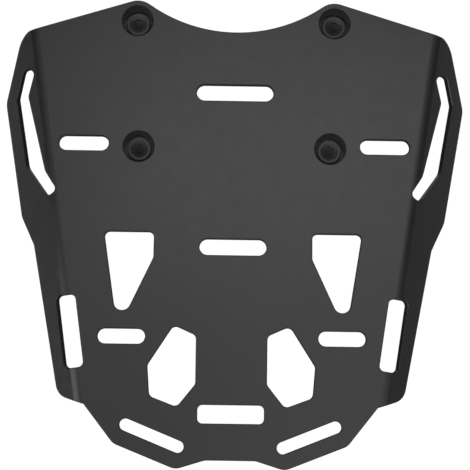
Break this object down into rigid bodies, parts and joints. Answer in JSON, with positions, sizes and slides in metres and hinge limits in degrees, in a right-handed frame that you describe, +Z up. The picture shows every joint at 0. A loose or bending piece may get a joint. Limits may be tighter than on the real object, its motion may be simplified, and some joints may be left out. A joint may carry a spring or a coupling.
{
  "type": "motorcycle luggage rack",
  "caption": "Flat luggage rack of a folded, slotted black plate with down-turned side wings, held by socket-head screws sunk in cups under the plate.",
  "frame": {"origin": "centre of the four-screw pattern, midway between its front and rear rows, on the plane of the cup bottoms that sit on the carrier", "axes": "+X to the right seen from above with the front away, +Y towards the front hollow, +Z up, square to the flat panel"},
  "size_m": [0.2622, 0.2661, 0.037],
  "materials": {
    "powder_coat": "satin black powder coat",
    "black_screw": "black oxide"
  },
  "bodies": {
    "root": {"rack_plate": "powder_coat", "mount_cups": "powder_coat", "washers": "black_screw", "cap_screws": "black_screw"}
  },
  "joints": []
}
